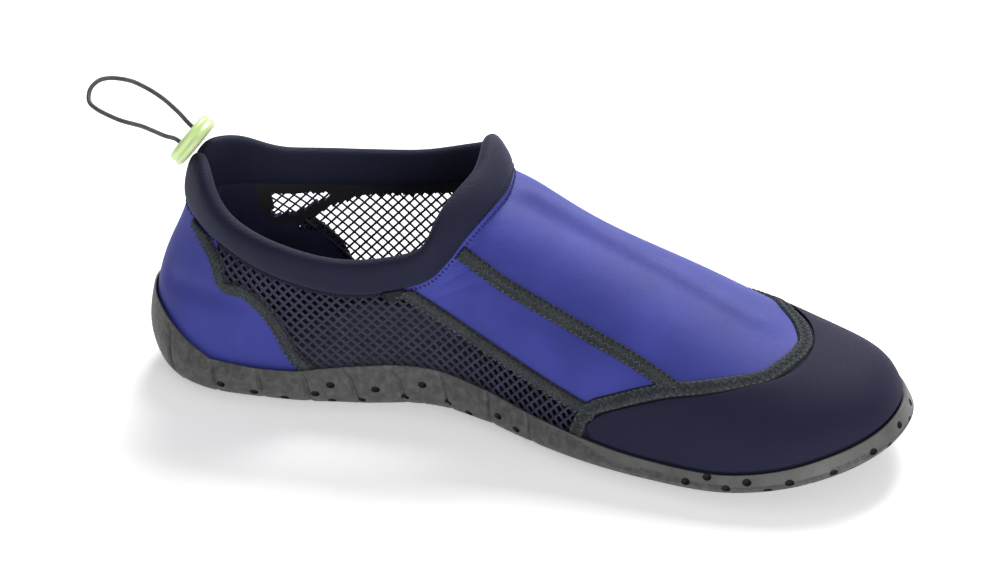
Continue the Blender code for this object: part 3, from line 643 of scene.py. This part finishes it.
toePath, toeLength = toeRun(count=150, ahead=0.002)
tapes, threads = {}, []
for side, word in ((-1, "Inner"), (1, "Outer")):
    for name, count, ahead in (("upper", 60, 0.0025), ("lower", 60, 0.0030), ("heel", 60, 0.0025)):
        run, length = seamRun(name, side, count, ahead)
        piece = makeTape(name + "Tape" + word, run, tapeLook["width"])
        tapes[name + word] = piece
        edge = tapeLook["width"] * tapeLook["threadShare"]
        for aside, thread in ((edge * side, "darkThread"), (-edge * side, "oliveThread")):
            threads.append(stitchRow(name + "Thread" + word, run, length, aside, thread, "edge"))
        threads.append(stitchRow(name + "Zigzag" + word, run, length, 0.0, "oliveThread", "zigzag"))
tapes["toe"] = makeTape("toeTape", toePath, tapeLook["toeWidth"])
for aside in (-tapeLook["toeThreadAside"], tapeLook["toeThreadAside"]):
    threads.append(stitchRow("toeThread", toePath, toeLength, aside, "oliveThread", "toeEdge"))
threads.append(stitchRow("toeZigzag", toePath, toeLength, 0.0, "darkThread", "toeZigzag"))
print("tapes and threads made")


# the open panels in the side walls: outlines in share and height, from the seams round them
rimLine = [
    (0.250, 0.0140), (0.310, 0.0160), (0.400, 0.0180), (0.470, 0.0150), (0.535, 0.0112), (0.600, 0.0092),
]
innerPanel = seams["heel"] + rimLine + seams["toe"][:2] + seams["lower"][::-1]
innerPanel += [(0.360, 0.0560), (0.280, 0.0520), (0.200, 0.0545), (0.150, 0.0600)]
outerPanel = [(0.155, 0.0400)] + seams["heel"][4:] + rimLine + seams["toe"][:2] + seams["lower"][::-1]
outerPanel += [
    (0.355, 0.0545), (0.331, 0.0545), (0.287, 0.0540), (0.242, 0.0520), (0.195, 0.0470), (0.175, 0.0440),
]
outerCorner = [
    (0.128, 0.0450), (0.130, 0.0540), (0.145, 0.0565), (0.197, 0.0540), (0.205, 0.0515), (0.177, 0.0485),
    (0.155, 0.0450),
]
panels = {-1: [innerPanel], 1: [outerPanel, outerCorner]}
panelBorder = [(0.112, 0.0640)] + seams["heel"] + [(0.252, 0.0040), (0.598, 0.0040)]
panelBorder += seams["toe"][:2] + seams["lower"][::-1] + [(0.368, 0.0600)]


def inOutline(x, z, outline):
    inside = False
    for (x1, z1), (x2, z2) in zip(outline, outline[1:] + outline[:1]):
        if (z1 > z) != (z2 > z) and x < x1 + (z - z1) / (z2 - z1) * (x2 - x1):
            inside = not inside
    return inside


def placed(outline, side):
    return [seamPlace(share, height, side) for share, height in outline]


outlines = {side: [placed(outline, side) for outline in panels[side]] for side in panels}
borders = {side: placed(panelBorder, side) for side in panels}


# the collar seam: the skin's own upper edge, in order round the opening
def collarEdge():
    shaped = bmesh.new()
    shaped.from_mesh(skin.data)
    border = [edge for edge in shaped.edges if edge.is_boundary and edge.verts[0].co.z > shoe["openingFrom"]]
    links = {}
    for edge in border:
        for one, two in (edge.verts, reversed(edge.verts)):
            links.setdefault(one.index, []).append(two.index)
    shaped.verts.ensure_lookup_table()
    start = min(links, key=lambda i: shaped.verts[i].co.x)
    loop, before = [start], None
    while True:
        onward = [i for i in links[loop[-1]] if i != before]
        before = loop[-1]
        if onward[0] == start:
            break
        loop.append(onward[0])
        if len(loop) > len(links):
            break
    places = [shaped.verts[i].co.copy() for i in loop]
    shaped.free()
    return places


edgePlaces = collarEdge()
print("collar edge", len(edgePlaces), "places")


def farFromCollar(place, gap):
    return min((place - spot).length_squared for spot in edgePlaces) > gap**2


def aheadOfToeSeam(place):
    spot, normal, forward = min(toePath, key=lambda item: (item[0] - place).length_squared)
    return (place - spot).dot(normal.cross(forward)) * toeSign > 0


# which way across the toe seam is towards the toe
crown = toePath[len(toePath) // 2]
toeSign = 1 if crown[1].cross(crown[2]).x > 0 else -1


upperLook = {
    "wall": 0.0024,
    "strip": {-1: 0.0008, 1: 0.0018},  # left whole under the collar, by side
    "tuck": 0.0024,                    # how far the edge goes on up into the collar's roll
    "sideFrom": 0.012,                 # the side walls start this far from the middle line
    "toeFrom": 0.58,                   # the dark toe starts past this share of the last
}


def windowFace(face):
    side = -1 if face.center.y < 0 else 1
    if abs(face.center.y) < upperLook["sideFrom"] or not farFromCollar(face.center, upperLook["strip"][side]):
        return False
    return any(inOutline(face.center.x, face.center.z, outline) for outline in outlines[side])


def borderFace(face):
    side = -1 if face.center.y < 0 else 1
    if abs(face.center.y) <= upperLook["sideFrom"]:
        return False
    return inOutline(face.center.x, face.center.z, borders[side])


def edgeUses(piece):
    uses = {}
    for face in piece.data.polygons:
        for key in face.edge_keys:
            uses[key] = uses.get(key, 0) + 1
    return uses


def makeUpper():
    upper = skin.copy()
    upper.data = skin.data.copy()
    upper.name = upper.data.name = "neopreneUpper"
    bpy.context.scene.collection.objects.link(upper)
    for name in ("blueNeoprene", "navyToe", "blueLining", "blackFoam"):
        upper.data.materials.append(materials[name])
    for face in upper.data.polygons:
        if borderFace(face) or (face.center.x > along(upperLook["toeFrom"]) and aheadOfToeSeam(face.center)):
            face.material_index = 1
    edit(upper, selectAll=False)
    leaveEdit()
    selectFaces(upper, windowFace)
    bpy.ops.object.mode_set(mode="EDIT")
    bpy.ops.mesh.delete(type="FACE")
    leaveEdit()
    # the upper edge goes on up inside the collar's roll
    rim = {edge for edge, uses in edgeUses(upper).items() if uses == 1}
    for edge in upper.data.edges:
        if edge.key in rim:
            edge.select = not farFromCollar(upper.data.vertices[edge.vertices[0]].co, upperLook["strip"][-1])
    bpy.ops.object.mode_set(mode="EDIT")
    bpy.ops.mesh.select_mode(type="EDGE")
    bpy.ops.mesh.extrude_region_move(TRANSFORM_OT_translate={"value": (0, 0, upperLook["tuck"])})
    leaveEdit()
    wall = upper.modifiers.new("wall", "SOLIDIFY")
    wall.thickness, wall.offset = upperLook["wall"], -1
    wall.material_offset, wall.material_offset_rim = 2, 1
    applyModifiers(upper)
    bpy.ops.object.shade_smooth_by_angle(angle=math.radians(50))
    return upper


upperPiece = makeUpper()
print("upper made", len(upperPiece.data.polygons), "faces")


# the open net: a grid turned to diamonds, cut to the panel, pressed on the wall, then made of strands
netLook = {
    "pitch": 0.0039, "strand": {-1: 0.0015, 1: 0.0012}, "sink": 0.0009, "margin": 0.0010,
    "aside": 0.09,  # the flat grid starts this far to the side
    "facing": 0.1,  # and is pressed on walls that face its side at least this much
}


def makeNet(side, name):
    cell = netLook["pitch"] / math.sqrt(2)
    xs, zs = [[place[k] for outline in outlines[side] for place in outline] for k in (0, 1)]
    middle = Vector(((min(xs) + max(xs)) / 2, side * netLook["aside"], (min(zs) + max(zs)) / 2))
    reach = (max(xs) - min(xs)) + (max(zs) - min(zs))
    cells = int(reach / cell)
    bpy.ops.mesh.primitive_grid_add(
        x_subdivisions=cells, y_subdivisions=cells, size=cells * cell, location=middle
    )
    net = bpy.context.object
    net.name = net.data.name = name
    upright = Matrix.Rotation(math.pi / 2 * -side, 4, "X")
    net.rotation_euler = (Matrix.Rotation(math.pi / 4, 4, "Y") @ upright).to_euler()
    applyPlace(net)
    edit(net, selectAll=False)
    leaveEdit()

    # each panel is grown by the margin: down, up, and up to either side
    margin = netLook["margin"]
    places = [(0, 0), (0, -margin), (0, margin), (-margin, -margin), (margin, -margin)]

    def outside(face):
        x, z = face.center.x, face.center.z
        return not any(inOutline(x + dx, z + dz, outline) for dx, dz in places for outline in outlines[side])

    selectFaces(net, outside)
    bpy.ops.object.mode_set(mode="EDIT")
    bpy.ops.mesh.delete(type="FACE")
    leaveEdit()
    lost = set()
    for corner in net.data.vertices:
        hit, normal = skinTree.ray_cast(corner.co, Vector((0, -side, 0)))[:2]
        if hit is None or normal.y * side < netLook["facing"]:
            near = Vector((corner.co.x, side * shoe["wallNear"], corner.co.z))
            hit, normal = skinTree.find_nearest(near)[:2]
            lost.add(corner.index)
        corner.co = hit - normal * netLook["sink"]
    selectFaces(net, lambda face: all(i in lost for i in face.vertices))
    bpy.ops.object.mode_set(mode="EDIT")
    bpy.ops.mesh.delete(type="FACE")
    leaveEdit()
    strands = net.modifiers.new("strands", "WIREFRAME")
    strands.thickness = netLook["strand"][side]
    strands.use_replace = True
    strands.use_even_offset = False
    strands.use_boundary = True
    applyModifiers(net)
    bpy.ops.object.shade_smooth()
    net.data.materials.clear()
    net.data.materials.append(materials["navyNet"])
    return net


nets = {side: makeNet(side, "net" + word) for side, word in ((-1, "Inner"), (1, "Outer"))}
print("nets made", [len(net.data.polygons) for net in nets.values()])


# padded collar, with the over-edge stitches where it is sewn to the upper
collarPiece = cleanCopy("collar", "paddedCollar")
smoothBy(collarPiece, 2)
collarPiece.data.materials.append(materials["navyCollar"])
edgeRun, edgeLength = skinRun(edgePlaces + edgePlaces[:1], count=400)
threads.append(stitchRow("collarThread", edgeRun, edgeLength, 0.0, "darkThread", "collar"))
print("collar made")

toeCap = cleanCopy("toe_cap", "toeCapPanel")
smoothBy(toeCap, 2)
toeCap.data.materials.append(materials["navyToe"])

# the moulded sole: softened grooves and lugs, dents in its side with painted shade in them, and a painted
# highlight along its rim
dents = [
    (-0.1006, 0.0078), (-0.0885, 0.0062), (-0.0777, 0.0049), (-0.0664, 0.0079), (-0.0609, 0.0117),
    (-0.0612, 0.0048), (-0.0508, 0.0059), (-0.0452, 0.0112), (-0.0353, 0.0085), (-0.0285, 0.0147),
    (-0.0298, 0.0052), (-0.0191, 0.0092), (-0.0112, 0.0072), (0.0011, 0.0104), (0.0084, 0.0078),
]
# a dent's size is along the side, into it and up; a row of them goes round the toe, higher at its tip
dentLook = {
    "size": (0.0032, 0.0034, 0.0024),
    "toeCount": 25, "toeSpread": 105, "toeMiddle": (0.086, -0.005), "toeRay": 0.15,
    "low": 0.0072, "stagger": 0.0026, "toeLift": 0.0090,
}
# the painted highlight on the rim is lighter rubber on what looks up, above this height, just outside the
# upper
rimHighlightLook = {"above": 0.008, "facing": 0.4, "outside": 0.0002, "reach": 0.0070}


def makeSole():
    sole = cleanCopy("outsole", "rubberSole")
    edit(sole, selectAll=False)
    bpy.ops.mesh.select_mode(type="EDGE")
    bpy.ops.mesh.edges_select_sharp(sharpness=math.radians(48))
    bpy.ops.transform.edge_crease(value=0.75)
    leaveEdit()
    smoothBy(sole, 2)
    tree = BVHTree.FromPolygons([v.co for v in sole.data.vertices], [f.vertices for f in sole.data.polygons])
    spots = []
    for side in (-1, 1):
        for x, z in dents:
            spots.append(tree.ray_cast(Vector((x, side * shoe["beside"], z)), Vector((0, -side, 0)))[:2])
    for k in range(dentLook["toeCount"]):
        turn = math.radians(dentLook["toeSpread"] * (2 * k / (dentLook["toeCount"] - 1) - 1))
        out = Vector((math.cos(turn), math.sin(turn), 0))
        low = dentLook["low"] + dentLook["stagger"] * (k % 2)
        low += dentLook["toeLift"] * max(0, math.cos(turn)) ** 4
        start = Vector((*dentLook["toeMiddle"], low)) + out * dentLook["toeRay"]
        spots.append(tree.ray_cast(start, -out)[:2])
    cutters = []
    for spot, normal in spots:
        if spot is None:
            continue
        bpy.ops.mesh.primitive_uv_sphere_add(segments=12, ring_count=8, radius=0.5)
        dent = bpy.context.object
        flat = Vector((normal.x, normal.y, 0)).normalized()
        turned = Matrix((Vector((0, 0, 1)).cross(flat) * -1, flat, Vector((0, 0, 1)))).transposed().to_4x4()
        size = Matrix.Diagonal((*dentLook["size"], 1))
        dent.data.transform(Matrix.Translation(spot) @ turned @ size)
        cutters.append(dent)
    cutter = joinPieces(cutters, "dentCutter")
    for piece in (sole, cutter):
        piece.data.materials.clear()
        for name in ("greyRubber", "paintedRimHighlight", "dentPaintedShade"):
            piece.data.materials.append(materials[name])
    # the cutter's faces become the dents' walls and carry the darker rubber: painted shade in the dents
    for face in cutter.data.polygons:
        face.material_index = 2
    boolean(sole, cutter, "DIFFERENCE")
    # upward faces of the rim just outside the upper get the lighter rubber: a painted highlight
    for face in sole.data.polygons:
        upward = face.normal.z > rimHighlightLook["facing"] and face.center.z > rimHighlightLook["above"]
        if face.material_index == 0 and upward:
            near, up, _, gap = skinTree.find_nearest(face.center)
            outward = (face.center - near).dot(up)
            if outward > rimHighlightLook["outside"] and gap < rimHighlightLook["reach"]:
                face.material_index = 1
    pick(sole)
    bpy.ops.object.shade_smooth_by_angle(angle=math.radians(40))
    return sole


solePiece = makeSole()
print("sole made", len(solePiece.data.polygons), "faces")

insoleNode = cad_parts["insole"]
insoleNode.data.materials.clear()
insoleNode.data.materials.append(materials["blackFoam"])

# every piece rides on the one body, and all but the nets and stitches stand for a CAD node
rows = {"dark": [], "olive": []}
for row in threads:
    rows["dark" if row.data.materials[0].name.startswith("dark") else "olive"].append(row)
threadPiece = joinPieces(rows["olive"], "oliveStitches")
darkPiece = joinPieces(rows["dark"], "darkStitches")
bpy.data.objects.remove(skin, do_unlink=True)
stands = [
    (upperPiece, "upper", "neoprene"),
    (collarPiece, "collar", "collar_cloth"),
    (solePiece, "outsole", "rubber"),
    (toeCap, "toe_cap", "toe_cloth"),
    (lockBody, "cord_lock", "lime_plastic"),
    (cordPiece, "drawcord", "cord_braid"),
    (tapes["toe"], "toe_tape", "tape"),
]
for name in ("upper", "lower", "heel"):
    for word in ("Inner", "Outer"):
        stands.append((tapes[name + word], name + "_tape_" + word.lower(), "tape"))
for piece, node, slot in stands:
    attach(piece, "root")
    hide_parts(node)
added = [(nets[-1], "collar_cloth"), (nets[1], "collar_cloth"), (threadPiece, "tape"), (darkPiece, "tape")]
for piece, slot in added:
    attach(piece, "root")
tuple(cordExit)
print("pieces placed")

# plain pale floor and soft studio light
studio = {
    "world": 0.30,
    "aim": (0, 0, 0.04),
    "floor": {"size": 8, "drop": 0.0002, "colour": (0.93, 0.93, 0.935), "glow": 0.38},
    "top": {"place": (-0.05, 1.15, 1.10), "size": 0.8, "power": 33},
    "front": {"place": (1.15, -1.25, 0.55), "size": 0.8, "power": 15},
}
bpy.ops.mesh.primitive_plane_add(size=studio["floor"]["size"], location=(0, 0, -studio["floor"]["drop"]))
floor = bpy.context.object
floor.name = "floor"
paper = bpy.data.materials.new("paleFloor")
paper.use_nodes = True
paperShader = paper.node_tree.nodes["Principled BSDF"]
paperShader.inputs["Base Color"].default_value = (*studio["floor"]["colour"], 1)
paperShader.inputs["Roughness"].default_value = 0.9
paperShader.inputs["Specular IOR Level"].default_value = 0.1
paperShader.inputs["Emission Color"].default_value = (1, 1, 1, 1)
paperShader.inputs["Emission Strength"].default_value = studio["floor"]["glow"]
floor.data.materials.append(paper)


def addLight(name, look):
    bpy.ops.object.light_add(type="AREA", location=look["place"])
    light = bpy.context.object
    light.name = name
    light.data.size = look["size"]
    light.data.energy = look["power"]
    aim = Vector(studio["aim"]) - Vector(look["place"])
    light.rotation_euler = aim.to_track_quat("-Z", "Y").to_euler()


addLight("topSoftbox", studio["top"])
addLight("frontSoftbox", studio["front"])
world = bpy.data.worlds.new("studio")
world.use_nodes = True
world.node_tree.nodes["Background"].inputs["Color"].default_value = (1, 1, 1, 1)
world.node_tree.nodes["Background"].inputs["Strength"].default_value = studio["world"]
bpy.context.scene.world = world
bpy.context.scene.view_settings.view_transform = "Standard"
print("studio made")
